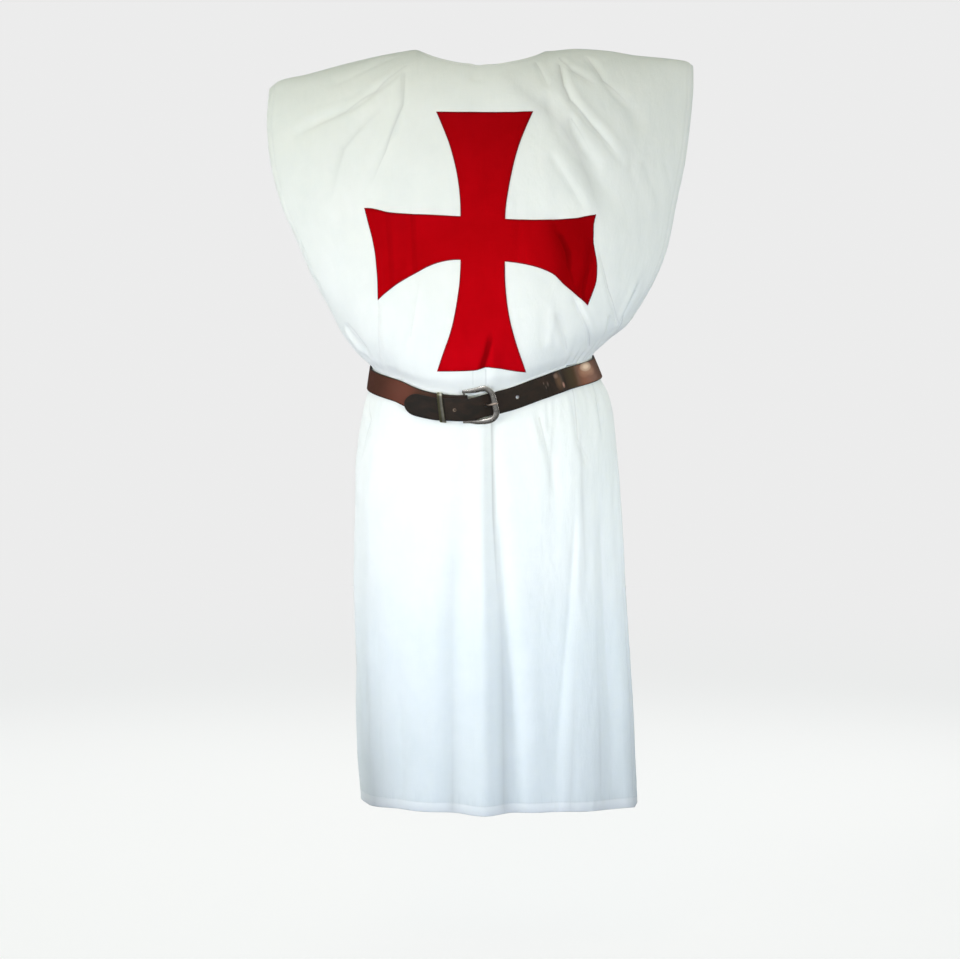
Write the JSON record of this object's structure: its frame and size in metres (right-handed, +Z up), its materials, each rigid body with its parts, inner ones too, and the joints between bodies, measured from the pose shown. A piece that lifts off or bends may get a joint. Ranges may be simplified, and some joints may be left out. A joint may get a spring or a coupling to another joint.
{
  "type": "surcoat",
  "caption": "Open-sided medieval surcoat of white cotton with a red cross on the chest, in worn form, held at the waist by its own leather belt with a steel buckle and keeper.",
  "frame": {"origin": "midway between the two neck ends of the shoulder seams, on the underside of the cloth, where the wearer's shoulders hold the garment", "axes": "+Z up along the garment's length, +Y from the front to the back, so the cross and the buckle face -Y, and +X to the wearer's left"},
  "size_m": [0.6733, 0.3346, 1.1981],
  "materials": {
    "white_cotton": "matt plain weave",
    "red_cotton": "matt plain weave, stitched round the edge",
    "brown_leather": "waxed, satin, with painted dark edges",
    "polished_steel": "domed and polished, lightly aged",
    "aged_metal": "dull, bronze-grey"
  },
  "bodies": {
    "root": {"front_panel": "white_cotton", "back_panel": "white_cotton", "cross_applique": "red_cotton", "belt_strap": "brown_leather", "buckle_frame": "polished_steel", "buckle_prong": "polished_steel", "belt_keeper": "aged_metal"}
  },
  "joints": []
}
